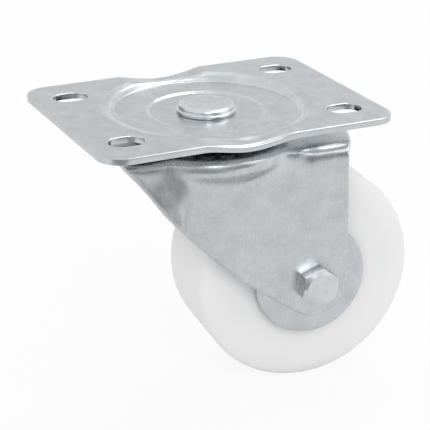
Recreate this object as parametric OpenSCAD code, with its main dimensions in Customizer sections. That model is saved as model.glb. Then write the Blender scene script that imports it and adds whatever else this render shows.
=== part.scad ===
// Swivel castor: pressed top plate, pressed fork on a double ball race, solid
// nylon wheel on a roller bearing. Millimetres, +Z up, origin at the centre of
// the plate's top face, on the swivel axis. The wheel trails towards +X.

/* [Top plate] */
// Length of the plate, along X
plate_l = 106; // [96:1:130]
// Width of the plate, along Y
plate_w = 80; // [74:1:100]
// Thickness of the plate's sheet
plate_t = 2.2; // [2:0.1:3]
// Radius of the plate's corners
plate_corner_r = 8.5; // [4:0.5:12]
// Hole spacing along X
hole_pitch_x = 80; // [78:1:84]
// Hole spacing along Y
hole_pitch_y = 50; // [46:1:56]
// Width of a slotted hole
slot_w = 9; // [7:0.5:10]
// Length of a slotted hole, end to end
slot_l = 12; // [11:0.5:14]
// Depth of the pressed dish below the mounting face
dish_depth = 2.4; // [2:0.1:3]
// Radius of the dish's flat floor
dish_floor_r = 31.6; // [29:0.5:33]
// Width of the slope from the floor up to the mounting face
dish_slope_w = 4.8; // [4:0.2:6]
// Half width of the dip where the dish runs out through a long edge
dip_half_w = 17; // [14:0.5:18]
// Half width of that dip's flat bottom
dip_flat = 7.5; // [5:0.5:9]
// Depth of that dip below the mounting face
dip_depth = 1.3; // [1:0.1:1.8]
// Radius of the recess for the king pin's head
recess_r = 20.5; // [18:0.5:21]
// Depth of that recess below the dish's floor
recess_step = 0.6; // [0.4:0.1:1]

/* [Swivel head] */
// Ball diameter in both races
ball_d = 6.35; // [6:0.05:6.8]
// Pitch radius of the upper ball race
upper_race_r = 23.2; // [22.5:0.1:24]
// Pitch radius of the lower ball race
lower_race_r = 15.5; // [15:0.1:16.5]
// Space left between neighbouring balls
ball_gap = 0.25; // [0.15:0.05:0.6]
// Depth of a ball track in the sheet
track_depth = 0.55; // [0.4:0.05:0.8]
// Radius of the king pin's shank
pin_r = 7; // [6:0.1:8]
// Radius of the king pin's spigot through the plate
spigot_r = 5.5; // [4.5:0.1:5.9]
// Radius of the riveted head on top
head_r = 10.3; // [9:0.1:12]
// Radius of the forged head below
foot_r = 9.6; // [9:0.1:11]
// Height of the forged head below
foot_h = 2.8; // [2:0.1:4]
// Sheet thickness of the lower race cup
cup_t = 2.4; // [2:0.1:3]
// Outer radius of the lower race cup
cup_r = 21.2; // [20.5:0.1:22]

/* [Fork] */
// Angle of the fork about the swivel axis as it stands
fork_turn = -5; // [-30:1:30]
// Thickness of the fork's sheet
fork_t = 2.5; // [2:0.1:3]
// Drop from the crown's round head to the flat ears beside it
ear_drop = 2.1; // [1.6:0.1:2.6]
// Outer radius of the bend from ear to leg
bend_r = 4.6; // [3.6:0.1:5.2]
// How far the top of the legs' trailing edges leans ahead of the fork's tip
trail_lean = 1.5; // [0.5:0.1:3]
// Distance from the swivel axis to the crown's leading end
crown_front = 33; // [31:0.5:35]
// Distance from the swivel axis to the top of the legs' leading edges
lead_reach = 38; // [36:0.5:40]
// Radius on which the bead of the round head is drawn
bead_pitch_r = 27.2; // [26.5:0.1:28.5]
// Outer radius of the bead itself
bead_r = 4; // [3.8:0.1:4.4]
// Radius at which the round head has run out into the ears
head_reach = 36; // [34:0.5:38]
// Radius of the fork's tip round the axle
tip_r = 12.6; // [11:0.1:14]
// How far each leg is set in along its leading edge
leg_draw_in = 2.4; // [0.2:0.2:3.5]
// Length of the slope that sets it in
draw_run = 5; // [4:0.5:9]

/* [Wheel] */
// Wheel diameter
wheel_d = 80; // [76:1:82]
// Wheel width over its faces
wheel_w = 37; // [34:0.5:38]
// Width of the flat tread
tread_w = 27.6; // [22:0.2:29]
// Depth of the rounded shoulder, measured along the radius
shoulder_h = 9; // [5:0.5:10]
// How far the hub's ends stand out from the wheel's faces
hub_rise = 0.7; // [0.4:0.1:1.2]
// Radius of the hub boss
hub_r = 18.4; // [17:0.1:18.8]
// Trail: distance from the swivel axis to the axle
trail = 32; // [30:0.5:33]
// Depth of the axle below the mounting face
axle_drop = 62.5; // [62:0.5:68]

/* [Bearing and axle] */
// Diameter of a roller
roller_d = 3.9; // [3.5:0.1:4]
// Length of a roller
roller_l = 28; // [24:1:30]
// Length of the roller cage
cage_l = 34; // [32:1:36]
// Outer radius of the axle tube
tube_r = 6; // [5.6:0.1:6.4]
// Radius of the bolt's shank
bolt_r = 3.95; // [3:0.05:4]
// Length of the bolt under its head
bolt_l = 60; // [59:1:66]
// Width across flats of the bolt head and the nut
hex_af = 12.8; // [12:0.1:14]
// Height of the bolt head
hex_h = 5.3; // [4:0.1:6]
// Angle at which the bolt head stopped
bolt_turn = 38; // [0:1:60]
// Height of the nut's hexagon
nut_h = 6.3; // [5:0.1:7]
// Height of the nut's round collar
collar_h = 1.7; // [1.5:0.1:2]
// Radius of the thread guard discs
guard_r = 20.6; // [20:0.1:21]
// Sheet thickness of the thread guard discs
guard_t = 1; // [0.8:0.1:1.2]
// Height of a guard's clamped boss over its flat panel
guard_boss_h = 2; // [1.6:0.1:2.6]

/* [Hidden] */
$fn = 96;
hull_fn = 48;

// Running clearance of a ball or roller on its track, each side
run_gap = 0.05;
// Side play of the hub between the two thread guards, each side
hub_gap = 0.3;
// Clearance of a fixed piece on the shank that carries it
seat_gap = 0.05;
// Clearance of the bolt in the holes of the legs
bolt_gap = 0.15;
// Clearance of the axle bolt in its tube
tube_gap = 0.2;
// Radial clearance of the fork round the king pin
swivel_gap = 1.6;
// Clearance of the nylon ring in its collar
ring_gap = 0.02;
// How far a cutter runs past the face that it opens
over = 1;
// Thickness of a section that a hull starts from
sliver = 0.01;

// Stack of the swivel head, from the mounting face down
plate_under = -(dish_depth + plate_t);
race_gap = ball_d - 2 * track_depth;
upper_ball_z = plate_under - race_gap / 2;
crown_z = plate_under - race_gap;
crown_under = crown_z - fork_t;
lower_ball_z = crown_under - race_gap / 2;
cup_z = crown_under - race_gap;
cup_under = cup_z - cup_t;
ear_z = crown_z - ear_drop;
recess_depth = dish_depth + recess_step;
recess_under = -(recess_depth + plate_t);
upper_count = floor(2 * PI * upper_race_r / (ball_d + ball_gap));
lower_count = floor(2 * PI * lower_race_r / (ball_d + ball_gap));
track_r = ball_d / 2 + run_gap;

// Dish of the plate
dish_top_r = dish_floor_r + dish_slope_w;
dish_widen = plate_t * tan(atan(dish_depth / dish_slope_w) / 2);
dip_reach = plate_w / 2 + 2;
recess_wall = 1;

// King pin's head
head_top = -0.1;
head_base = -recess_depth;
head_edge_r = 1.1;
head_ledge = 0.6;
head_ledge_h = 1.3;
head_dish = 0.25;

// Lower race cup
cup_rim_h = 2.6;

// Across the axle, from the wheel's middle out to the legs
guard_panel_drop = 0.4;
wheel_half = wheel_w / 2;
hub_half = wheel_half + hub_rise;
guard_panel = hub_half + hub_gap + guard_t;
guard_face = guard_panel + guard_panel_drop;
leg_in = guard_panel + guard_boss_h;
leg_y = leg_in + fork_t;
tube_half = leg_in - guard_t;

// Fork
axle_z = -axle_drop;
bead_z = crown_z - bead_r;
bead_end = -60;
flare_end = 170;
flare_sink = 0.2;
ear_blend_r = 17;
ear_blend_a = 249;
edge_bow = 5;
draw_start = -17;
tip_top = ear_z - bend_r;
lead_top = [-lead_reach, ear_z + 2 * over];
edge_steps = 14;
arc_step = 10;
trail_edge_top = trail + tip_r - trail_lean;
crown_r = norm([trail_edge_top, leg_y]);

// Wheel
wheel_r = wheel_d / 2;
shoulder_w = (wheel_w - tread_w) / 2;
race_out_r = tube_r + roller_d + 2 * run_gap;
roller_pitch = (tube_r + race_out_r) / 2;
roller_count = 8;
hub_face_dip = 0.9;
hub_mouth = 0.8;
cage_wall = 0.7;
cage_gap = 0.35;
pocket_gap = 0.1;

// Thread guards
guard_panel_r = 17.4;
guard_boss_r = 9.6;
guard_rim_h = 2;
guard_curl = 0.8;

// Bolt and nut
chamfer = 0.9;
hex_chamfer = 1.25;
hex_band = 1.05;
ring_r = 5.3;
collar_r = 5.95;
collar_lip = 0.35;

function arc(c, r, a0, a1, step) =
    [for (i = [0 : ceil(abs(a1 - a0) / step)])
        let (n = ceil(abs(a1 - a0) / step), a = a0 + (a1 - a0) * i / n)
        [c[0] + r * cos(a), c[1] + r * sin(a)]];

// Places what belongs to the fork at the angle the fork stands at
module fork_frame() {
    rotate([0, 0, fork_turn]) children();
}

// Local z runs along the axle, away from the viewer, with 0 in the wheel's middle
module axle_frame() {
    fork_frame() translate([trail, 0, axle_z]) rotate([-90, 0, 0]) children();
}

// One pressed form of the dish: the space above the plate's dished surface
module dish_form(widen) {
    hull() {
        translate([0, 0, -dish_depth])
            cylinder(r1 = dish_floor_r + widen, r2 = dish_top_r + widen, h = dish_depth, $fn = hull_fn);
        for (side = [-1, 1])
            translate([0, side * dip_reach, 0])
                rotate([90, 0, 0])
                    linear_extrude(sliver, center = true)
                        polygon([[-dip_half_w - widen, 0], [-dip_flat - widen, -dip_depth],
                            [dip_flat + widen, -dip_depth], [dip_half_w + widen, 0]]);
    }
}

// Plan outline of the plate, from z0 up by h
module plate_outline(z0, h) {
    x = plate_l / 2 - plate_corner_r;
    y = plate_w / 2 - plate_corner_r;
    translate([0, 0, z0]) {
        translate([-plate_l / 2, -y, 0]) cube([plate_l, 2 * y, h]);
        translate([-x, -plate_w / 2, 0]) cube([2 * x, plate_w, h]);
        for (sx = [-1, 1], sy = [-1, 1])
            translate([sx * x, sy * y, 0]) cylinder(r = plate_corner_r, h = h);
    }
}

module slot_cutter() {
    half = (slot_l - slot_w) / 2;
    for (side = [-1, 1])
        translate([side * half, 0, -plate_t - over])
            cylinder(d = slot_w, h = plate_t + 2 * over);
    translate([-half, -slot_w / 2, -plate_t - over])
        cube([2 * half, slot_w, plate_t + 2 * over]);
}

// Ring that a ball sweeps, with its running clearance
module ball_track(pitch, z) {
    translate([0, 0, z])
        rotate_extrude() translate([pitch, 0]) circle(r = track_r, $fn = 48);
}

module top_plate() {
    color([0.74, 0.76, 0.77])
        difference() {
            union() {
                plate_outline(-plate_t, plate_t);
                intersection() {
                    translate([0, 0, -plate_t]) dish_form(dish_widen);
                    plate_outline(plate_under - over, over - plate_under);
                }
                translate([0, 0, recess_under])
                    cylinder(r1 = recess_r + recess_wall, r2 = recess_r + 2 * recess_wall, h = plate_t);
            }
            dish_form(0);
            translate([0, 0, -recess_depth])
                cylinder(r1 = recess_r - recess_wall, r2 = recess_r, h = recess_step + sliver);
            cylinder(r = spigot_r + seat_gap, h = 4 * recess_depth, center = true);
            for (sx = [-1, 1], sy = [-1, 1])
                translate([sx * hole_pitch_x / 2, sy * hole_pitch_y / 2, 0]) slot_cutter();
            ball_track(upper_race_r, upper_ball_z);
        }
}

// Shouldered pin, forged head below, riveted over on top of the plate
module king_pin() {
    color([0.72, 0.74, 0.75])
        rotate_extrude()
            polygon(concat(
                [[0, cup_under - foot_h], [foot_r - chamfer, cup_under - foot_h],
                    [foot_r, cup_under - foot_h + chamfer], [foot_r, cup_under],
                    [pin_r, cup_under], [pin_r, recess_under], [spigot_r, recess_under],
                    [spigot_r, head_base], [head_r, head_base],
                    [head_r, head_base + head_ledge_h],
                    [head_r - head_ledge, head_base + head_ledge_h + head_ledge / 3]],
                arc([head_r - head_ledge - head_edge_r, head_top - head_edge_r],
                    head_edge_r, 0, 90, arc_step),
                [[head_r - head_ledge - 2 * head_edge_r, head_top - head_dish],
                    [0, head_top - head_dish]]));
}

// Pressed cup that carries the lower balls, held by the king pin's foot
module lower_race() {
    color([0.66, 0.68, 0.7])
        difference() {
            rotate_extrude()
                polygon([[pin_r + seat_gap, cup_under], [cup_r - cup_t, cup_under],
                    [cup_r, cup_under + cup_t], [cup_r, cup_z + cup_rim_h],
                    [cup_r - cup_t / 2, cup_z + cup_rim_h], [cup_r - cup_t / 2, cup_z + cup_t / 2],
                    [cup_r - cup_t, cup_z], [pin_r + seat_gap, cup_z]]);
            ball_track(lower_race_r, lower_ball_z);
        }
}

module ball_ring(count, pitch, z) {
    color([0.5, 0.52, 0.55])
        for (i = [0 : count - 1])
            rotate([0, 0, 360 * i / count])
                translate([pitch, 0, z]) sphere(d = ball_d, $fn = 32);
}

module upper_balls() {
    ball_ring(upper_count, upper_race_r, upper_ball_z);
}

module lower_balls() {
    ball_ring(lower_count, lower_race_r, lower_ball_z);
}

// Plan of the fork: straight sides that are set in towards the leading end; inset by g
module plan_form(g) {
    side = [[2 * crown_r, leg_y - g], [draw_start, leg_y - g],
        [draw_start - draw_run, leg_y - leg_draw_in - g],
        [-2 * crown_r, leg_y - leg_draw_in - g]];
    other = [for (i = [len(side) - 1 : -1 : 0]) [side[i][0], -side[i][1]]];
    translate([0, 0, axle_z - 4 * tip_r])
        linear_extrude(2 * axle_drop + 8 * tip_r) polygon(concat(side, other));
}

// Channel of the fork: flat ears, rounded bends and two legs; inset by g
module channel_form(g) {
    half = concat([[leg_y - g, axle_z - 3 * tip_r]],
        arc([leg_y - bend_r, ear_z - bend_r], bend_r - g, 0, 90, arc_step));
    mirrored = [for (i = [len(half) - 1 : -1 : 0]) [-half[i][0], half[i][1]]];
    intersection() {
        rotate([90, 0, 90])
            linear_extrude(4 * crown_r, center = true) polygon(concat(half, mirrored));
        plan_form(g);
    }
}

// Round head of the fork, turned: its bead, and the hollow flare below the bead that
// runs out on the face of the leg; inset by g
module head_form(g) {
    end = [bead_pitch_r + bead_r * cos(bead_end), bead_z + bead_r * sin(bead_end)];
    flare_r = (end[0] - leg_y + flare_sink) / (-cos(bead_end) - cos(flare_end));
    flare_c = end + flare_r * [cos(bead_end), sin(bead_end)];
    flare = arc(flare_c, flare_r + g, 180 + bead_end, flare_end, arc_step);
    rotate_extrude()
        polygon(concat([[0, crown_z - g]],
            arc([bead_pitch_r, bead_z], bead_r - g, 90, bead_end + arc_step, arc_step),
            flare, [[0, flare[len(flare) - 1][1]]]));
}

// Hollow blend from the round head out to the flat ears; inset by g
module ear_blend(g) {
    centre = [head_reach, ear_z + ear_blend_r];
    intersection() {
        rotate_extrude()
            polygon(concat([[0, ear_z - bend_r]],
                [[0, centre[1] + (ear_blend_r + g) * sin(ear_blend_a)]],
                arc(centre, ear_blend_r + g, ear_blend_a, 270, arc_step),
                [[head_reach, ear_z - bend_r]]));
        plan_form(g);
    }
}

module fork_form(g) {
    channel_form(g);
    head_form(g);
    ear_blend(g);
}

// Side outline of the legs: bowed leading edge, round tip, near upright trailing edge
function leg_outline() =
    let (axle = [trail, axle_z],
        tip_a = 250,
        start = [axle[0] + tip_r * cos(tip_a), axle[1] + tip_r * sin(tip_a)],
        run = lead_top - start,
        out = [run[1], -run[0]] / norm(run))
    concat(
        [for (i = [0 : edge_steps])
            let (u = 1 - i / edge_steps)
            start + run * u - out * edge_bow * 4 * u * (1 - u)],
        arc(axle, tip_r, tip_a, 360, arc_step),
        [[trail_edge_top, tip_top], [trail_edge_top, lead_top[1]]]);

module fork() {
    color([0.75, 0.77, 0.79])
        fork_frame()
            difference() {
                intersection() {
                    difference() {
                        fork_form(0);
                        fork_form(fork_t);
                    }
                    union() {
                        rotate([90, 0, 0])
                            linear_extrude(4 * leg_y, center = true) polygon(leg_outline());
                        intersection() {
                            translate([0, 0, ear_z - fork_t]) cylinder(r = crown_r, h = axle_drop);
                            translate([-crown_front, -crown_r, ear_z - fork_t])
                                cube([2 * crown_r, 2 * crown_r, axle_drop]);
                        }
                    }
                }
                cylinder(r = pin_r + swivel_gap, h = 4 * axle_drop, center = true);
                translate([trail, 0, axle_z])
                    rotate([90, 0, 0])
                        cylinder(r = bolt_r + bolt_gap, h = 4 * leg_y, center = true);
                ball_track(upper_race_r, upper_ball_z);
                ball_track(lower_race_r, lower_ball_z);
            }
}

// Half section of the wheel from the mouth of the bore out to the tread
function wheel_half_section(s) =
    concat([[race_out_r, s * (hub_half - hub_mouth)],
            [race_out_r + hub_mouth, s * hub_half],
            [hub_r - hub_mouth, s * hub_half],
            [hub_r, s * (hub_half - hub_mouth)],
            [hub_r, s * (wheel_half - hub_face_dip)],
            [guard_r + 2, s * (wheel_half - hub_face_dip)]],
        [for (i = [0 : 8])
            let (a = 90 * (1 - i / 8))
            [wheel_r - shoulder_h + shoulder_h * cos(a),
                s * (tread_w / 2 + shoulder_w * sin(a))]]);

module wheel() {
    low = wheel_half_section(-1);
    high = wheel_half_section(1);
    color([0.94, 0.94, 0.94])
        axle_frame()
            rotate_extrude()
                polygon(concat(low, [for (i = [len(high) - 1 : -1 : 0]) high[i]]));
}

module at_roller(i) {
    axle_frame() rotate([0, 0, 360 * i / roller_count]) translate([roller_pitch, 0, 0]) children();
}

// Moulded cage, one pocket for each roller
module roller_cage() {
    cage_in = tube_r + cage_gap;
    cage_out = race_out_r - cage_gap;
    color([0.86, 0.85, 0.8])
        difference() {
            axle_frame()
                difference() {
                    cylinder(r = cage_out, h = cage_l, center = true);
                    cylinder(r = cage_in, h = cage_l + 2 * over, center = true);
                }
            for (i = [0 : roller_count - 1])
                at_roller(i)
                    cylinder(d = roller_d + 2 * pocket_gap, h = roller_l + 2 * pocket_gap, center = true);
        }
}

module roller(i) {
    color([0.6, 0.62, 0.65])
        at_roller(i) cylinder(d = roller_d, h = roller_l, center = true);
}

// Spacer tube that the bolt clamps between the guards, inner race of the rollers
module axle_tube() {
    color([0.66, 0.68, 0.7])
        axle_frame()
            difference() {
                cylinder(r = tube_r, h = 2 * tube_half, center = true);
                cylinder(r = bolt_r + tube_gap, h = 2 * tube_half + 2 * over, center = true);
            }
}

// Dished disc between hub and leg; its boss is clamped against the leg
module guard() {
    color([0.75, 0.77, 0.79])
        rotate_extrude()
            polygon([[bolt_r + tube_gap, leg_in], [guard_boss_r - guard_t, leg_in],
                [guard_boss_r, guard_panel], [guard_panel_r - guard_t, guard_panel],
                [guard_panel_r, guard_face], [guard_r - guard_curl, guard_face],
                [guard_r, guard_face - guard_curl], [guard_r, guard_face - guard_rim_h],
                [guard_r - guard_t, guard_face - guard_rim_h],
                [guard_r - guard_t, guard_face - guard_t],
                [guard_panel_r, guard_face - guard_t],
                [guard_panel_r - guard_t, guard_panel - guard_t],
                [guard_boss_r - guard_t, guard_panel - guard_t],
                [guard_boss_r - 2 * guard_t, leg_in - guard_t],
                [bolt_r + tube_gap, leg_in - guard_t]]);
}

module near_guard() {
    axle_frame() mirror([0, 0, 1]) guard();
}

module far_guard() {
    axle_frame() guard();
}

// Hexagon across flats af, corners turned off at the outer end
module hex(af, h) {
    corner_r = af / 2 / cos(30);
    face_r = af / 2 - hex_band;
    intersection() {
        cylinder(r = corner_r, h = h, $fn = 6);
        union() {
            cylinder(r = corner_r + over, h = h - hex_chamfer);
            translate([0, 0, h - hex_chamfer])
                cylinder(r1 = face_r + hex_chamfer / tan(30), r2 = face_r, h = hex_chamfer);
        }
    }
}

module axle_bolt() {
    color([0.78, 0.79, 0.8])
        axle_frame() {
            translate([0, 0, -leg_y])
                rotate([180, 0, bolt_turn]) hex(hex_af, hex_h);
            translate([0, 0, -leg_y - over]) cylinder(r = bolt_r, h = bolt_l + over - chamfer);
            translate([0, 0, bolt_l - leg_y - chamfer])
                cylinder(r1 = bolt_r, r2 = bolt_r - chamfer, h = chamfer);
        }
}

// Nut with a round collar that holds the nylon ring
module lock_nut() {
    color([0.76, 0.77, 0.78])
        axle_frame()
            translate([0, 0, leg_y])
                difference() {
                    union() {
                        hex(hex_af, nut_h);
                        cylinder(r = collar_r, h = nut_h + collar_h);
                    }
                    translate([0, 0, -over]) cylinder(r = bolt_r + seat_gap, h = nut_h + 3 * over);
                    translate([0, 0, nut_h - collar_lip])
                        cylinder(r = ring_r, h = collar_h);
                    translate([0, 0, nut_h])
                        cylinder(r = ring_r - collar_lip, h = collar_h + over);
                }
}

module nut_ring() {
    color([0.85, 0.88, 0.9])
        axle_frame()
            translate([0, 0, leg_y + nut_h - collar_lip])
                difference() {
                    cylinder(r = ring_r - ring_gap, h = collar_h - ring_gap);
                    translate([0, 0, -over]) cylinder(r = bolt_r + seat_gap, h = collar_h + 2 * over);
                }
}

top_plate();
king_pin();
lower_race();
upper_balls();
lower_balls();
fork();
wheel();
roller_cage();
roller(0);  // roller_1
roller(1);  // roller_2
roller(2);  // roller_3
roller(3);  // roller_4
roller(4);  // roller_5
roller(5);  // roller_6
roller(6);  // roller_7
roller(7);  // roller_8
axle_tube();
near_guard();
far_guard();
axle_bolt();
lock_nut();
nut_ring();
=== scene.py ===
from math import cos, hypot, pi, radians, sin, sqrt, tan

import bpy
import numpy
from mathutils import Matrix, Vector


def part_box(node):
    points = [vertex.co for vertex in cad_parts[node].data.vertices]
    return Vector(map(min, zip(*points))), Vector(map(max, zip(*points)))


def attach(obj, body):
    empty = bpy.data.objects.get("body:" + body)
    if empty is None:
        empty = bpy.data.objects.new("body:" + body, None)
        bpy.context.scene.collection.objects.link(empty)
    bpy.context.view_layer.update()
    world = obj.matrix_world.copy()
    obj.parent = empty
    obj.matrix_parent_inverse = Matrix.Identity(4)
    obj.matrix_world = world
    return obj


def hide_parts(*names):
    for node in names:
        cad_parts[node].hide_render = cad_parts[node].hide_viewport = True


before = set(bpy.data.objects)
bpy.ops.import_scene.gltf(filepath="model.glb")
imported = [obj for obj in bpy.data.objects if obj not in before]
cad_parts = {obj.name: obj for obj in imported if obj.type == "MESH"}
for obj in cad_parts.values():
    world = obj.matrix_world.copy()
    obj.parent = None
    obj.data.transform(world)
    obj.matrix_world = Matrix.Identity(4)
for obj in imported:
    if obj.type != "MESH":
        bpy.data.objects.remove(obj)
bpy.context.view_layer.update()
bpy.ops.object.select_all(action="DESELECT")

MM = 0.001
PLATE_BODY, FORK_BODY, WHEEL_BODY = "plate", "fork", "wheel"


# Camera: it stands in front, to the left and above, and looks a little down on the plate.
# The swivel axis meets the mounting face at one pixel of the frame, which sets the shift.
VIEW_TURN, VIEW_RISE, VIEW_ROLL = radians(-25.96), radians(22.48), radians(-0.39)
VIEW_DISTANCE = 516.8 * MM
FOCAL_PX, IMAGE_PX = 1505.9, 430
ORIGIN_PX = (205.4, 102.5)
SENSOR = 36

away = Vector((sin(VIEW_TURN) * cos(VIEW_RISE), -cos(VIEW_TURN) * cos(VIEW_RISE), sin(VIEW_RISE)))
across = Vector((cos(VIEW_TURN), sin(VIEW_TURN), 0))
upward = away.cross(across)
side_step = (ORIGIN_PX[0] - IMAGE_PX / 2) / FOCAL_PX
rise_step = (IMAGE_PX / 2 - ORIGIN_PX[1]) / FOCAL_PX
depth = VIEW_DISTANCE / sqrt(1 + side_step ** 2 + rise_step ** 2)

camera = bpy.data.objects.new("camera", bpy.data.cameras.new("camera"))
bpy.context.scene.collection.objects.link(camera)
camera.data.sensor_width = SENSOR
camera.data.lens = FOCAL_PX * SENSOR / IMAGE_PX
camera.data.clip_start = 0.05
camera_x = cos(VIEW_ROLL) * across - sin(VIEW_ROLL) * upward
camera_y = sin(VIEW_ROLL) * across + cos(VIEW_ROLL) * upward
stand = Matrix.Translation(depth * (away - side_step * across - rise_step * upward))
camera.matrix_world = stand @ Matrix((camera_x, camera_y, away)).transposed().to_4x4()
bpy.context.scene.camera = camera


# Top plate: one sheet of 2.2 mm steel, blanked with its four slots and its pin hole and then
# pressed, which rounds its edges and draws the shallow dish, the recess in its middle and
# the dips where the dish runs out through the long edges. Zinc plated after pressing.
PLATE_LONG, PLATE_WIDE, PLATE_THICK, PLATE_CORNER = 106 * MM, 80 * MM, 2.2 * MM, 8.5 * MM
SLOT_APART = (80 * MM, 50 * MM)
SLOT_WIDE, SLOT_LONG, PIN_HOLE_R = 9 * MM, 12 * MM, 5.55 * MM
PLATE_CELL, RIM_ROUND = 0.5 * MM, 0.42 * MM
PLATE_ZINC = (0.57, 0.6, 0.62)
# How deep below the top a slot's tool is, and how far it flares there.
FLARES = ((0.4 * MM, 0), (0.2 * MM, 0.05 * MM), (0.06 * MM, 0.17 * MM), (0, 0.35 * MM))
# The edge rolls down a little all round, and a crease's radius is a share of its slope.
ROLL_WIDE, ROLL_DROP, CREASE = 1.3 * MM, 0.14 * MM, 0.16
# The dish's slope starts gently: it has its first share of the depth over the first run.
DISH_FLOOR_R, DISH_SLOPE, DISH_DEPTH = 31.6 * MM, 4.8 * MM, 2.4 * MM
GENTLE, GENTLE_RUN = 0.4, 0.62
# The last of the dish's depth is a small sharp step, and the recess is another.
RING_WALL, RING_STEP = 0.9 * MM, 0.3 * MM
RECESS_R, RECESS_WALL, RECESS_STEP = 20.5 * MM, 1.0 * MM, 0.6 * MM
# A dip is a V with a round tip, and it is a little shallower beside the dish's floor.
DIP_HALF, DIP_DEPTH, DIP_TIP, FRONT_DIP_X = 15 * MM, 2.1 * MM, 0.3, -2.5 * MM
DIP_START, DIP_RUN, RIDGE_SHARE, RIDGE_RUN = 20 * MM, 5 * MM, 0.7, 4 * MM
FORM_BLEND = 0.5 * MM
# In a dip the top edge turns down into a lip.
LIP_WIDE, LIP_DROP, LIP_FADE = 2.2 * MM, 0.45 * MM, 0.7 * MM
# The upper balls run in a track under the dish, which the sheet stays clear of.
UPPER_RACE_R, UPPER_BALL_Z, TRACK_R = 23.2 * MM, -7.225 * MM, 3.225 * MM


def select_only(piece):
    bpy.ops.object.select_all(action="DESELECT")
    piece.select_set(True)
    bpy.context.view_layer.objects.active = piece


def apply_modifiers(piece):
    select_only(piece)
    for modifier in list(piece.modifiers):
        bpy.ops.object.modifier_apply(modifier=modifier.name)


def cut_away(piece, cutter):
    cut = piece.modifiers.new("cut", "BOOLEAN")
    cut.operation = "DIFFERENCE"
    cut.solver = "EXACT"
    cut.object = cutter
    apply_modifiers(piece)
    bpy.data.objects.remove(cutter)


def places_of(piece):
    """The x, y and z of a piece's points, each as one array."""
    places = numpy.empty(3 * len(piece.data.vertices))
    piece.data.vertices.foreach_get("co", places)
    return places.reshape(-1, 3).T


def move_to(piece, x, y, z):
    piece.data.vertices.foreach_set("co", numpy.stack([x, y, z], axis=1).ravel())
    piece.data.update()


def blank(name):
    """A flat sheet in fine cells with round corners, its rim rounded by the shears."""
    bpy.ops.object.select_all(action="DESELECT")
    bpy.ops.mesh.primitive_grid_add(size=1, x_subdivisions=round(PLATE_LONG / PLATE_CELL),
                                    y_subdivisions=round(PLATE_WIDE / PLATE_CELL))
    piece = bpy.context.object
    piece.name = piece.data.name = name
    piece.scale = (PLATE_LONG, PLATE_WIDE, 1)
    bpy.ops.object.transform_apply(location=True, rotation=True, scale=True)
    x, y, z = places_of(piece)
    in_x = (numpy.abs(x) - PLATE_LONG / 2 + PLATE_CORNER) / PLATE_CORNER
    in_y = (numpy.abs(y) - PLATE_WIDE / 2 + PLATE_CORNER) / PLATE_CORNER
    corner = (in_x > 0) & (in_y > 0)
    out_x = PLATE_CORNER * in_x * numpy.sqrt(numpy.maximum(1 - in_y ** 2 / 2, 0.5))
    out_y = PLATE_CORNER * in_y * numpy.sqrt(numpy.maximum(1 - in_x ** 2 / 2, 0.5))
    round_x = numpy.sign(x) * (PLATE_LONG / 2 - PLATE_CORNER + out_x)
    round_y = numpy.sign(y) * (PLATE_WIDE / 2 - PLATE_CORNER + out_y)
    move_to(piece, numpy.where(corner, round_x, x), numpy.where(corner, round_y, y), z)
    bpy.ops.object.mode_set(mode="EDIT")
    bpy.ops.mesh.select_all(action="SELECT")
    bpy.ops.mesh.extrude_region_move(TRANSFORM_OT_translate={"value": (0, 0, -PLATE_THICK)})
    bpy.ops.mesh.select_all(action="SELECT")
    bpy.ops.mesh.normals_make_consistent(inside=False)
    bpy.ops.object.mode_set(mode="OBJECT")
    rim = piece.modifiers.new("rim", "BEVEL")
    rim.width = RIM_ROUND
    rim.segments = 4
    rim.limit_method = "ANGLE"
    rim.angle_limit = radians(50)
    apply_modifiers(piece)
    return piece


def slot_cutter(centre):
    """A short slot's tool, which flares a little at the top so that the slot's edge is rounded."""
    bpy.ops.object.select_all(action="DESELECT")
    bpy.ops.mesh.primitive_cylinder_add(vertices=48, radius=SLOT_WIDE / 2, depth=2 * PLATE_THICK)
    tool = bpy.context.object
    x, y, z = places_of(tool)
    half_run = (SLOT_LONG - SLOT_WIDE) / 2
    move_to(tool, x + half_run * numpy.sign(numpy.round(x, 6)), y, z - PLATE_THICK - FLARES[0][0])
    bpy.ops.object.mode_set(mode="EDIT")
    bpy.ops.mesh.select_mode(type="FACE")
    bpy.ops.mesh.select_all(action="DESELECT")
    bpy.ops.object.mode_set(mode="OBJECT")
    for face in tool.data.polygons:
        face.select = face.normal.z > 0.9
    bpy.ops.object.mode_set(mode="EDIT")
    for (low, out), (high, wider) in zip(FLARES, FLARES[1:] + ((-PLATE_THICK, FLARES[-1][1]),)):
        bpy.ops.mesh.extrude_region_move(TRANSFORM_OT_translate={"value": (0, 0, low - high)})
        bpy.ops.transform.resize(value=((SLOT_LONG + 2 * wider) / (SLOT_LONG + 2 * out),
                                        (SLOT_WIDE + 2 * wider) / (SLOT_WIDE + 2 * out), 1))
    bpy.ops.object.mode_set(mode="OBJECT")
    tool.location = centre
    bpy.ops.object.transform_apply(location=True, rotation=True, scale=True)
    return tool


def smooth_maximum(first, second):
    """The larger of two depths, with a small radius where they meet."""
    larger = numpy.maximum(first, second)
    near = numpy.maximum(FORM_BLEND - numpy.abs(first - second), 0) / FORM_BLEND
    return larger + near ** 2 * FORM_BLEND / 4 * numpy.clip(larger / FORM_BLEND, 0, 1)


def clipped(share):
    """A share held between 0 and 1."""
    return numpy.clip(share, 0, 1)


def softened(share):
    """A straight ramp from 0 to 1 whose two creases have a small radius."""
    start = numpy.clip(share + CREASE, 0, 2 * CREASE) ** 2 / (4 * CREASE)
    end = numpy.clip(1 + CREASE - share, 0, 2 * CREASE) ** 2 / (4 * CREASE)
    return numpy.where(share < CREASE, start, numpy.where(share > 1 - CREASE, 1 - end, share))


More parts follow.
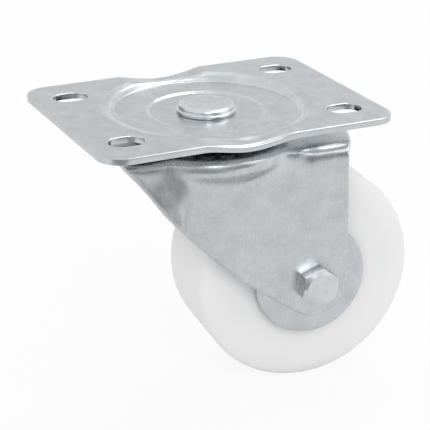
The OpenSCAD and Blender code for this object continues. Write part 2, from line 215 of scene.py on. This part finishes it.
def press(piece):
    """Moves the flat blank down into the die."""
    x, y, z = places_of(piece)
    radius = numpy.hypot(x, y)
    on_top = z > -PLATE_THICK / 2
    share = (DISH_FLOOR_R + DISH_SLOPE - radius) / DISH_SLOPE
    steep = softened((share - GENTLE_RUN) / (1 - GENTLE_RUN))
    dish = (DISH_DEPTH - RING_STEP) * (GENTLE * softened(share / GENTLE_RUN) + (1 - GENTLE) * steep)
    aside = numpy.abs(x - numpy.where(y < 0, FRONT_DIP_X, 0)) / DIP_HALF
    flank = (numpy.hypot(aside, DIP_TIP) - DIP_TIP) / (hypot(1, DIP_TIP) - DIP_TIP)
    dip = DIP_DEPTH * softened(1 - flank) * clipped((numpy.abs(y) - DIP_START) / DIP_RUN)
    ridge = clipped(RIDGE_SHARE + (1 - RIDGE_SHARE) * (radius - DISH_FLOOR_R) / RIDGE_RUN)
    low = smooth_maximum(dish, dip * ridge)
    low = low + RING_STEP * softened((DISH_FLOOR_R + RING_WALL - radius) / RING_WALL)
    low = low + RECESS_STEP * softened((RECESS_R - radius) / RECESS_WALL)
    lip = clipped(1 - (PLATE_WIDE / 2 - numpy.abs(y)) / LIP_WIDE)
    low = low + LIP_DROP * lip ** 2 * clipped(dip / LIP_FADE) * on_top
    past_x = numpy.maximum(numpy.abs(x) - PLATE_LONG / 2 + PLATE_CORNER, 0)
    past_y = numpy.maximum(numpy.abs(y) - PLATE_WIDE / 2 + PLATE_CORNER, 0)
    roll = clipped(1 - (PLATE_CORNER - numpy.hypot(past_x, past_y)) / ROLL_WIDE)
    pressed = z - low - ROLL_DROP * roll ** 2 * on_top
    off_track = numpy.minimum(numpy.abs(radius - UPPER_RACE_R), TRACK_R)
    track = UPPER_BALL_Z + numpy.sqrt(TRACK_R ** 2 - off_track ** 2)
    pressed = numpy.where(~on_top & (off_track < TRACK_R), numpy.maximum(pressed, track), pressed)
    move_to(piece, x, y, pressed)


class Wire:
    """An output socket of a material's nodes, which plain sums can use."""

    def __init__(self, tree, socket):
        self.tree = tree
        self.socket = socket

    def node(self, kind, settings, inputs, out=0):
        """Adds a node. Its settings are set first, and then its sockets' values or links."""
        made = self.tree.nodes.new("ShaderNode" + kind)
        for key, value in settings.items():
            setattr(made, key, value)
        for key, value in inputs.items():
            if isinstance(value, Wire):
                self.tree.links.new(value.socket, made.inputs[key])
            else:
                made.inputs[key].default_value = value
        return Wire(self.tree, made.outputs[out])

    def maths(self, operation, first, second):
        return self.node("Math", {"operation": operation}, {0: first, 1: second})

    def __add__(self, other):
        return self.maths("ADD", self, other)

    __radd__ = __add__

    def __sub__(self, other):
        return self.maths("SUBTRACT", self, other)

    def __rsub__(self, other):
        return self.maths("SUBTRACT", other, self)

    def __mul__(self, other):
        return self.maths("MULTIPLY", self, other)

    __rmul__ = __mul__

    def noise(self, size, detail=3.0, rough=0.5, stretch=(1, 1, 1)):
        """Cloudy noise whose features are about size across, read at this place."""
        place = self.node("Mapping", {}, {"Vector": self, "Scale": stretch})
        return self.node("TexNoise", {}, {"Vector": place, "Scale": 1 / size, "Detail": detail,
                                          "Roughness": rough})

    def ramp(self, low, high):
        """0 below low, 1 above high, and smooth between."""
        return self.node("MapRange", {"interpolation_type": "SMOOTHSTEP"},
                         {"Value": self, "From Min": low, "From Max": high})

    def tint(self, dark, light):
        """A colour from dark at 0 to light at 1."""
        return self.node("Mix", {"data_type": "RGBA"}, {0: self, 6: (*dark, 1), 7: (*light, 1)}, out=2)

    def relief(self, height, strength=1.0):
        """A normal that follows this wire as a height map, height from its lowest to its highest."""
        return self.node("Bump", {}, {"Height": self, "Distance": height, "Strength": strength})


class Finish:
    """One material: its shader's sockets, and the place on the piece as a wire."""

    def __init__(self, name):
        self.material = bpy.data.materials.new(name)
        self.material.use_nodes = True
        self.tree = self.material.node_tree
        self.shader = self.tree.nodes["Principled BSDF"]
        self.place = Wire(self.tree, self.tree.nodes.new("ShaderNodeTexCoord").outputs["Object"])

    def set(self, **sockets):
        for key, value in sockets.items():
            socket = self.shader.inputs[key.replace("_", " ")]
            if isinstance(value, Wire):
                self.tree.links.new(value.socket, socket)
            else:
                socket.default_value = value

    def put_on(self, piece):
        """This finish is all that the piece wears."""
        piece.data.materials.clear()
        piece.data.materials.append(self.material)


def zinc_plate(name, tone, gloss, mottle_size=1.1 * MM, stretch=(1, 1, 1), relief=0.006 * MM,
               drift=0.12):
    """Bright zinc over pressed steel: a fine crystalline mottle, with a cloudy drift of tone."""
    finish = Finish(name)
    cloud = finish.place.noise(7 * MM, 3)
    mottle = finish.place.noise(mottle_size, 4, 0.6, stretch)
    fleck = finish.place.noise(0.3 * MM, 2, 0.5)
    shade = 0.45 * cloud + 0.37 * mottle + 0.18 * fleck
    dark = [(1 - drift) * c for c in tone]
    light = [min(1, (1 + 0.8 * drift) * c) for c in tone]
    finish.set(Base_Color=shade.ramp(0.3, 0.7).tint(dark, light), Metallic=1.0,
               Roughness=gloss + 0.16 * (mottle - 0.5) + 0.1 * (cloud - 0.5),
               Normal=(0.7 * mottle + 0.3 * fleck).relief(relief))
    return finish


plate = blank("pressed_plate")
for end in (-1, 1):
    for side in (-1, 1):
        cut_away(plate, slot_cutter((end * SLOT_APART[0] / 2, side * SLOT_APART[1] / 2, 0)))
bpy.ops.object.select_all(action="DESELECT")
bpy.ops.mesh.primitive_cylinder_add(vertices=64, radius=PIN_HOLE_R, depth=3 * PLATE_THICK)
cut_away(plate, bpy.context.object)
press(plate)
select_only(plate)
bpy.ops.object.shade_smooth_by_angle(angle=radians(40))
zinc_plate("plate_zinc", PLATE_ZINC, 0.24, relief=0.003 * MM).put_on(plate)
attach(plate, PLATE_BODY)
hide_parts("top_plate")


# King pin: a turned steel pin through plate, balls and cup. Its top is riveted over in the
# plate's recess, with a rolled rim and a ledge below it, and its forged head is underneath.
PIN_STEPS, PIN_TOP, PIN_HEAD_R = 96, -0.1 * MM, 10.3 * MM
PIN_ZINC = (0.64, 0.665, 0.68)


def turned(name, outline, steps, place=Matrix.Identity(4), round_edges=0):
    """A turned piece: its half section is drawn point by point, (radius, height), and spun."""
    bpy.ops.object.select_all(action="DESELECT")
    bpy.ops.mesh.primitive_plane_add(size=MM)
    piece = bpy.context.object
    piece.name = piece.data.name = name
    bpy.ops.object.mode_set(mode="EDIT")
    bpy.ops.mesh.select_mode(type="VERT")
    bpy.ops.mesh.select_all(action="SELECT")
    bpy.ops.mesh.merge(type="CENTER")
    points = [Vector((r, 0, z)) for r, z in outline]
    bpy.ops.transform.translate(value=points[0])
    closed = outline[0][0] > 0
    for here, there in zip(points, points[1:] + points[:1] * closed):
        bpy.ops.mesh.extrude_region_move(TRANSFORM_OT_translate={"value": there - here})
    bpy.ops.mesh.select_all(action="SELECT")
    bpy.ops.mesh.remove_doubles(threshold=0.001 * MM)
    bpy.ops.mesh.spin(steps=steps, angle=2 * pi, center=(0, 0, 0), axis=(0, 0, 1))
    bpy.ops.mesh.select_all(action="SELECT")
    bpy.ops.mesh.remove_doubles(threshold=0.001 * MM)
    bpy.ops.mesh.normals_make_consistent(inside=False)
    bpy.ops.object.mode_set(mode="OBJECT")
    piece.matrix_world = place
    bpy.ops.object.transform_apply(location=True, rotation=True, scale=True)
    if round_edges:
        rounding = piece.modifiers.new("rounding", "BEVEL")
        rounding.width = round_edges
        rounding.segments = 2
        rounding.limit_method = "ANGLE"
        rounding.angle_limit = radians(28)
        apply_modifiers(piece)
    bpy.ops.object.shade_smooth_by_angle(angle=radians(38))
    return piece


def bend(centre, radius, start, end, count):
    """Points of an arc in a half section, angles in degrees."""
    turns = [radians(start + (end - start) * i / count) for i in range(count + 1)]
    return [(centre[0] + radius * cos(t), centre[1] + radius * sin(t)) for t in turns]


pin_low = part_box("king_pin")[0]
pin = turned("riveted_king_pin", [
    (0, pin_low.z), (8.7 * MM, pin_low.z), (9.6 * MM, pin_low.z + 0.9 * MM),
    (9.6 * MM, pin_low.z + 2.8 * MM), (7 * MM, pin_low.z + 2.8 * MM), (7 * MM, -5.3 * MM),
    (5.5 * MM, -5.3 * MM), (5.5 * MM, -3 * MM), (10 * MM, -3 * MM), (PIN_HEAD_R, -2.75 * MM),
    (PIN_HEAD_R, -2 * MM), (10.1 * MM, -1.75 * MM), (9.75 * MM, -1.65 * MM)]
    + bend((8.6 * MM, PIN_TOP - 1.0 * MM), 1.0 * MM, -10, 100, 9)
    + [(7.9 * MM, PIN_TOP - 0.13 * MM), (7 * MM, PIN_TOP - 0.2 * MM), (0, PIN_TOP - 0.3 * MM)],
    PIN_STEPS)
zinc_plate("pin_zinc", PIN_ZINC, 0.2, mottle_size=1.6 * MM).put_on(pin)
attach(pin, PLATE_BODY)
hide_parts("king_pin")


# Ball races: two full rings of loose steel balls, the upper ring between plate and crown and the lower
# one between crown and the pressed cup that the pin holds. The balls' dark, bluish steel and their
# dark film are painted shade: they stand for the shade in the gap between plate and crown.
INNER_ZINC = (0.5, 0.52, 0.54)


def grease_and_shade_steel(name, tone, film):
    """Steel under a thin dark film that lies unevenly on it: grease on the rollers, and painted shade
    on the balls.
    """
    finish = Finish(name)
    smear = finish.place.noise(2.6 * MM, 4, 0.6)
    coated = smear.ramp(0.35, 0.62)
    finish.set(Base_Color=coated.tint(tone, film), Metallic=1 - 0.65 * coated,
               Roughness=0.12 + 0.3 * coated, Coat_Weight=0.5 * coated,
               Normal=smear.relief(0.05 * MM, 0.5))
    return finish


# The balls are painted dark and bluish, as painted shade for the gap between plate and crown.
ball_shade_finish = grease_and_shade_steel("shade_darkened_balls", (0.12, 0.145, 0.17), (0.027, 0.034, 0.042))
for ring in ("upper_balls", "lower_balls"):
    ball_shade_finish.put_on(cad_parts[ring])
    select_only(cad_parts[ring])
    bpy.ops.object.shade_smooth()
zinc_plate("cup_zinc", INNER_ZINC, 0.34).put_on(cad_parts["lower_race"])


# Fork: one sheet of 2.5 mm steel, drawn and bent. The crown's round head carries both
# races, the bead round it runs out over the legs, and the legs draw in at the front.
FORK_ZINC = (0.59, 0.615, 0.635)
FORK_TURN = radians(-5)
FORK_GRAIN, FORK_EASE = 0.55 * MM, 8
# The drawn head: how far round and down it is smoothed, clear of the tracks for the balls.
DRAWN_PASSES, DRAWN_FADE, DRAWN_EASE = 100, 8 * MM, 4 * MM
DRAWN_CLEAR, DRAWN_REACH, DRAWN_LOW = 24 * MM, 44 * MM, -30 * MM
# The legs' set-in: where the solid's starts, and the slanted and softer one that it becomes.
SET_IN, SHARP_START, SHARP_RUN = 2.4 * MM, -17 * MM, 5 * MM
SOFT_START, SOFT_RUN, SOFT_SLANT, SLANT_Z = -13 * MM, 14 * MM, 0.35, -42 * MM
SET_IN_TOP, SET_IN_FADE = -18 * MM, 9 * MM


def merged_copy(node, name):
    """A copy of a solid of the frame, its loose triangles merged, to be finished here."""
    piece = bpy.data.objects.new(name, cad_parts[node].data.copy())
    bpy.context.scene.collection.objects.link(piece)
    select_only(piece)
    bpy.ops.object.mode_set(mode="EDIT")
    bpy.ops.mesh.select_all(action="SELECT")
    bpy.ops.mesh.remove_doubles(threshold=0.002 * MM)
    bpy.ops.object.mode_set(mode="OBJECT")
    return piece


def ease_set_in(piece):
    """Turns the flat set-in of the legs' leading side into a soft swell that fades upward."""
    x, y, z = places_of(piece)
    along = x * cos(FORK_TURN) + y * sin(FORK_TURN)
    aside = y * cos(FORK_TURN) - x * sin(FORK_TURN)
    sharp = SET_IN * clipped((SHARP_START - along) / SHARP_RUN)
    share = clipped((SOFT_START - SOFT_SLANT * (z - SLANT_Z) - along) / SOFT_RUN)
    soft = SET_IN * share * share * (3 - 2 * share)
    low = clipped((SET_IN_TOP - z) / SET_IN_FADE)
    aside = aside - numpy.sign(aside) * (soft - sharp) * low * low * (3 - 2 * low)
    move_to(piece, along * cos(FORK_TURN) - aside * sin(FORK_TURN),
            along * sin(FORK_TURN) + aside * cos(FORK_TURN), z)


fork = merged_copy("fork", "pressed_fork")
skin = fork.modifiers.new("skin", "REMESH")
skin.mode = "VOXEL"
skin.voxel_size = FORK_GRAIN
ease = fork.modifiers.new("ease", "SMOOTH")
ease.iterations = FORK_EASE
apply_modifiers(fork)
bpy.ops.object.shade_smooth()
ease_set_in(fork)
drawn = fork.vertex_groups.new(name="drawn")
fork_x, fork_y, fork_z = places_of(fork)
reach = numpy.hypot(fork_x, fork_y)
shares = clipped((fork_z - DRAWN_LOW) / DRAWN_FADE) * clipped((DRAWN_REACH - reach) / DRAWN_FADE)
shares = shares * clipped((reach - DRAWN_CLEAR) / DRAWN_EASE)
for index in numpy.flatnonzero(shares):
    drawn.add([int(index)], shares[index], "REPLACE")
settle = fork.modifiers.new("settle", "SMOOTH")
settle.iterations = DRAWN_PASSES
settle.vertex_group = "drawn"
apply_modifiers(fork)
zinc_plate("fork_zinc", FORK_ZINC, 0.28, mottle_size=1.2 * MM, stretch=(1, 1, 0.5),
           drift=0.14).put_on(fork)
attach(fork, FORK_BODY)
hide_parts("fork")


# Wheel: one solid piece of natural nylon, turned true on the tread. Its shoulders are
# rounded wide and soft, and the hub stands a little proud of the faces.
TRAIL, AXLE_DROP = 32 * MM, 62.5 * MM
AXLE = Matrix.Rotation(FORK_TURN, 4, "Z") @ Matrix.Translation((TRAIL, 0, -AXLE_DROP))
AXLE = AXLE @ Matrix.Rotation(-pi / 2, 4, "X")
WHEEL_R, WHEEL_HALF, TREAD_HALF, SHOULDER = 40 * MM, 18.5 * MM, 13.8 * MM, 9 * MM
HUB_R, HUB_HALF, BORE_R = 18.4 * MM, 19.2 * MM, 10 * MM
WHEEL_STEPS, SHOULDER_STEPS, SOFTNESS = 192, 26, 0.84


def nylon(name, tone, gloss):
    """Natural nylon: milky, lit a little from within, with a very fine turned grain."""
    finish = Finish(name)
    cloud = finish.place.noise(20 * MM, 2)
    grain = finish.place.noise(0.45 * MM, 3, 0.6)
    low = [0.97 * c for c in tone]
    finish.set(Base_Color=(0.7 * cloud + 0.3 * grain).ramp(0.3, 0.7).tint(low, tone),
               Roughness=gloss + 0.08 * (cloud - 0.5) + 0.08 * (grain - 0.5),
               Subsurface_Weight=0.35, Subsurface_Radius=(1.0, 0.9, 0.85), Subsurface_Scale=4 * MM,
               Normal=grain.relief(0.006 * MM))
    return finish


def wheel_side(side):
    """Half section of one side, from the bore out to the tread."""
    face = WHEEL_HALF - 0.9 * MM
    shoulder = [(abs(x) ** SOFTNESS, abs(y) ** SOFTNESS)
                for x, y in bend((0, 0), 1, 90, 0, SHOULDER_STEPS)]
    middle = [(WHEEL_R, side * TREAD_HALF * share) for share in (0.9, 0.6, 0.3)]
    return [(BORE_R, side * (HUB_HALF - 0.8 * MM)), (BORE_R + 0.8 * MM, side * HUB_HALF),
            (HUB_R - 0.8 * MM, side * HUB_HALF), (HUB_R, side * (HUB_HALF - 0.8 * MM)),
            (HUB_R, side * face), (22.6 * MM, side * face)] + [
            (WHEEL_R - SHOULDER * (1 - x), side * (TREAD_HALF + (WHEEL_HALF - TREAD_HALF) * y))
            for x, y in shoulder] + middle


wheel = turned("nylon_wheel", wheel_side(-1) + wheel_side(1)[::-1], WHEEL_STEPS, AXLE)
nylon("white_nylon", (0.86, 0.86, 0.865), 0.4).put_on(wheel)
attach(wheel, WHEEL_BODY)
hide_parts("wheel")


# Bearing and axle tube: eight steel rollers in a moulded cage turn round the tube that
# the bolt clamps between the two guards.
nylon("cage_nylon", (0.7, 0.68, 0.6), 0.45).put_on(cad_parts["roller_cage"])
roller_finish = grease_and_shade_steel("greased_rollers", (0.5, 0.52, 0.55), (0.06, 0.065, 0.07))
for count in range(1, 9):
    roller_finish.put_on(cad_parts["roller_%d" % count])
zinc_plate("tube_zinc", INNER_ZINC, 0.3).put_on(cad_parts["axle_tube"])


# Thread guards: thin pressed discs between leg and hub, which keep thread and string off
# the bearing. The rim curls over the hub, and the boss stands out to meet the leg.
GUARD_FACE, GUARD_R, GUARD_STEPS = 20.9 * MM, 20.6 * MM, 128
LEG_INSIDE = 22.5 * MM
GUARD_ZINC = (0.58, 0.605, 0.63)
guard_outline = (
    [(4.15 * MM, LEG_INSIDE), (8.4 * MM, LEG_INSIDE), (8.75 * MM, 22.3 * MM), (9.35 * MM, 20.7 * MM),
     (9.8 * MM, 20.5 * MM), (12 * MM, 20.5 * MM), (14 * MM, 20.56 * MM), (16 * MM, 20.68 * MM),
     (18 * MM, 20.82 * MM), (19 * MM, 20.88 * MM)]
    + bend((GUARD_R - 0.8 * MM, GUARD_FACE - 0.8 * MM), 0.8 * MM, 85, 0, 6)
    + [(GUARD_R, 18.9 * MM), (GUARD_R - 1 * MM, 18.9 * MM), (GUARD_R - 1 * MM, GUARD_FACE - 1 * MM),
       (17.4 * MM, GUARD_FACE - 1 * MM), (16.4 * MM, 19.5 * MM), (8.6 * MM, 19.5 * MM),
       (7.6 * MM, 21.5 * MM), (4.15 * MM, 21.5 * MM)])
guard_finish = zinc_plate("guard_zinc", GUARD_ZINC, 0.24, mottle_size=1.5 * MM)
for name, node, place in (("near_thread_guard", "near_guard", AXLE @ Matrix.Rotation(pi, 4, "X")),
                          ("far_thread_guard", "far_guard", AXLE)):
    guard = turned(name, guard_outline, GUARD_STEPS, place, round_edges=0.15 * MM)
    guard_finish.put_on(guard)
    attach(guard, FORK_BODY)
    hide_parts(node)


# Axle bolt, lock nut and its nylon ring: forged and zinc plated, the corners chamfered at 30
# degrees and bright on their flats. The bolt's rolled thread stands out of the nut, whose
# round collar holds the ring.
LEG_OUTSIDE, BOLT_R, BOLT_END, BOLT_POINT = 25 * MM, 3.95 * MM, 35 * MM, 0.9 * MM
THREAD_TURNS, THREAD_PITCH, THREAD_DEEP = 3, 1.25 * MM, 0.6 * MM
HEX_ACROSS, HEX_CHAMFER, HEX_BAND, HEX_EDGE = 12.8 * MM, 1.25 * MM, 1.05 * MM, 0.16 * MM
HEAD_HIGH, HEAD_TURN, NUT_HIGH = 5.3 * MM, radians(38), 6.3 * MM
# The collar holds the ring, which starts a little below the hexagon's top.
COLLAR_R, COLLAR_HIGH, COLLAR_BORE_R, COLLAR_ROUND = 5.95 * MM, 1.7 * MM, 4.95 * MM, 0.5 * MM
RING_R, RING_SUNK, NUT_BORE_R = 5.3 * MM, 0.35 * MM, BOLT_R + 0.05 * MM
BOLT_ZINC = (0.66, 0.68, 0.7)


def forged_hex(name, high):
    """A hexagon from z 0 up, its upright edges eased and its upper corners turned off."""
    bpy.ops.object.select_all(action="DESELECT")
    bpy.ops.mesh.primitive_cylinder_add(vertices=6, radius=HEX_ACROSS / 2 / cos(pi / 6), depth=high,
                                        location=(0, 0, high / 2), rotation=(0, 0, pi / 6))
    piece = bpy.context.object
    bpy.ops.object.transform_apply(location=True, rotation=True, scale=True)
    eased = piece.modifiers.new("edges", "BEVEL")
    eased.width = HEX_EDGE
    eased.segments = 2
    eased.limit_method = "ANGLE"
    eased.angle_limit = radians(50)
    apply_modifiers(piece)
    face_r = HEX_ACROSS / 2 - HEX_BAND
    wide = face_r + HEX_CHAMFER / tan(pi / 6)
    cone = turned("cone", [(0, -high), (2 * wide, -high), (2 * wide, high - HEX_CHAMFER),
                           (wide, high - HEX_CHAMFER), (face_r, high), (0, high)], 96)
    common = piece.modifiers.new("common", "BOOLEAN")
    common.operation = "INTERSECT"
    common.solver = "EXACT"
    common.object = cone
    apply_modifiers(piece)
    bpy.data.objects.remove(cone)
    piece.name = piece.data.name = name
    bpy.ops.object.shade_smooth_by_angle(angle=radians(22))
    return piece


def joined(first, second):
    """Two worked pieces of one forging, as one mesh."""
    select_only(first)
    second.select_set(True)
    bpy.ops.object.join()
    return first


def hang(piece, place, finish, node):
    """Sets a fork's piece in its place, with its finish and what it stands for."""
    piece.data.transform(place)
    finish.put_on(piece)
    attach(piece, FORK_BODY)
    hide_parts(node)


bolt_finish = zinc_plate("bolt_zinc", BOLT_ZINC, 0.2, mottle_size=1.8 * MM)
shank_end = LEG_OUTSIDE + BOLT_END
ridges = []
for count in range(THREAD_TURNS):
    root = shank_end - BOLT_POINT - (THREAD_TURNS - 0.5 - count) * THREAD_PITCH
    ridges += [(BOLT_R, root - THREAD_PITCH / 2), (BOLT_R - THREAD_DEEP, root)]
shank = turned("shank", [(0, 0), (BOLT_R, 0)] + ridges + [
    (BOLT_R, shank_end - BOLT_POINT), (BOLT_R - BOLT_POINT, shank_end), (0, shank_end)],
    48, Matrix.Rotation(pi, 4, "X"))
bolt = joined(forged_hex("forged_bolt", HEAD_HIGH), shank)
bolt_place = AXLE @ Matrix.Rotation(HEAD_TURN, 4, "Z") @ Matrix.Rotation(pi, 4, "X")
hang(bolt, bolt_place @ Matrix.Translation((0, 0, LEG_OUTSIDE)), bolt_finish, "axle_bolt")

collar_top = NUT_HIGH + COLLAR_HIGH
collar = turned("collar", [
    (NUT_BORE_R, 0), (COLLAR_R - 0.3 * MM, 0), (COLLAR_R, NUT_HIGH - HEX_CHAMFER)]
    + bend((COLLAR_R - COLLAR_ROUND, collar_top - COLLAR_ROUND), COLLAR_ROUND, 0, 90, 5)
    + [(COLLAR_BORE_R, collar_top), (COLLAR_BORE_R, NUT_HIGH), (RING_R, NUT_HIGH),
       (RING_R, NUT_HIGH - RING_SUNK), (NUT_BORE_R, NUT_HIGH - RING_SUNK)], 96)
nut = joined(forged_hex("forged_lock_nut", NUT_HIGH), collar)
hang(nut, AXLE @ Matrix.Translation((0, 0, LEG_OUTSIDE)), bolt_finish, "lock_nut")

ring = turned("nylon_nut_ring", [
    (NUT_BORE_R, 0), (RING_R - 0.02 * MM, 0), (RING_R - 0.02 * MM, 0.34 * MM), (4.9 * MM, 0.34 * MM),
    (4.9 * MM, COLLAR_HIGH - 0.1 * MM), (4.6 * MM, COLLAR_HIGH + 0.1 * MM),
    (NUT_BORE_R, COLLAR_HIGH + 0.1 * MM)], 64)
hang(ring, AXLE @ Matrix.Translation((0, 0, LEG_OUTSIDE + NUT_HIGH - RING_SUNK)),
     nylon("ring_nylon", (0.75, 0.8, 0.83), 0.35), "nut_ring")


# Floor and backdrop: a pale sheet under the wheel, seen as white, which keeps a faint shadow.
# It starts a little in front of the castor and runs far back.
FLOOR_Z = -AXLE_DROP - WHEEL_R
FLOOR_SIZE, FLOOR_AHEAD = 4, 130 * MM
SHADOW_SHARE = 0.14

floor_back = FLOOR_SIZE / 2 - FLOOR_AHEAD
bpy.ops.mesh.primitive_plane_add(size=FLOOR_SIZE, rotation=(0, 0, VIEW_TURN), location=(
    -floor_back * sin(VIEW_TURN), floor_back * cos(VIEW_TURN), FLOOR_Z))
bpy.ops.object.transform_apply(location=True, rotation=True, scale=True)
floor = bpy.context.object
floor.name = "floor"
floor_finish = Finish("pale_floor")
floor_finish.set(Base_Color=(0.9, 0.9, 0.9, 1), Roughness=0.9)
tree = floor_finish.tree
glow = tree.nodes.new("ShaderNodeEmission")
mixed = tree.nodes.new("ShaderNodeMixShader")
seen = Wire(tree, tree.nodes.new("ShaderNodeLightPath").outputs["Is Camera Ray"])
tree.links.new((seen * (1 - SHADOW_SHARE)).socket, mixed.inputs[0])
tree.links.new(floor_finish.shader.outputs[0], mixed.inputs[1])
tree.links.new(glow.outputs[0], mixed.inputs[2])
tree.links.new(mixed.outputs[0], tree.nodes["Material Output"].inputs["Surface"])
floor_finish.put_on(floor)


# Lights: a bright room that metal sees dim in a few places, as in a studio. A large bright
# card for the metal alone hangs in front on the right, and two soft lamps stand over the
# camera and at the back.
ROOM_LEVEL = 0.9
# Each dim place has its turn and rise, the angle that it is full within, the angle that it
# ends at, and how much it takes off: beside the camera and low, in front, low at the back on
# the left, and behind on the right, which the flat of the plate mirrors.
DIM_PLACES = (((-116, -14), 12, 44, 0.62), ((-72, 7), 9, 24, 0.75), ((124, 2), 14, 32, 0.7),
              ((64, 23), 8, 18, 0.2))
world = bpy.data.worlds.new("studio")
bpy.context.scene.world = world
world.use_nodes = True
tree = world.node_tree
room = tree.nodes["Background"]
room.inputs["Color"].default_value = (1, 1, 1, 1)
direction = Wire(tree, tree.nodes.new("ShaderNodeTexCoord").outputs["Generated"])
rays = tree.nodes.new("ShaderNodeLightPath")
in_metal = Wire(tree, rays.outputs["Is Glossy Ray"])
level = (Wire(tree, rays.outputs["Is Camera Ray"]) + in_metal) * (1 - ROOM_LEVEL) + ROOM_LEVEL
for (turn, rise), full, end, dimmed in DIM_PLACES:
    centre = Vector((cos(radians(turn)) * cos(radians(rise)), sin(radians(turn)) * cos(radians(rise)),
                     sin(radians(rise))))
    towards = direction.node("VectorMath", {"operation": "DOT_PRODUCT"},
                             {0: direction, 1: centre}, out=1)
    level = level * (1 - towards.ramp(cos(radians(end)), cos(radians(full))) * dimmed * in_metal)
tree.links.new(level.socket, room.inputs["Strength"])


def soft_lamp(name, place, size, power, for_metal=False):
    """A round soft lamp that looks at the castor. One for metal alone acts as a bright card."""
    lamp = bpy.data.objects.new(name, bpy.data.lights.new(name, "AREA"))
    bpy.context.scene.collection.objects.link(lamp)
    lamp.data.shape = "DISK"
    lamp.data.size = size
    lamp.data.energy = power
    lamp.location = place
    lamp.rotation_euler = Vector(place).to_track_quat("Z", "Y").to_euler()
    lamp.visible_diffuse = not for_metal


soft_lamp("bright_card", (0.56, -0.4, 0.84), 1.15, 5.5, for_metal=True)
soft_lamp("front_lamp", (-0.2, -0.82, 0.66), 0.4, 1.4)
soft_lamp("back_lamp", (0.52, 0.5, 0.8), 0.45, 1)

bpy.context.scene.view_settings.view_transform = "Standard"
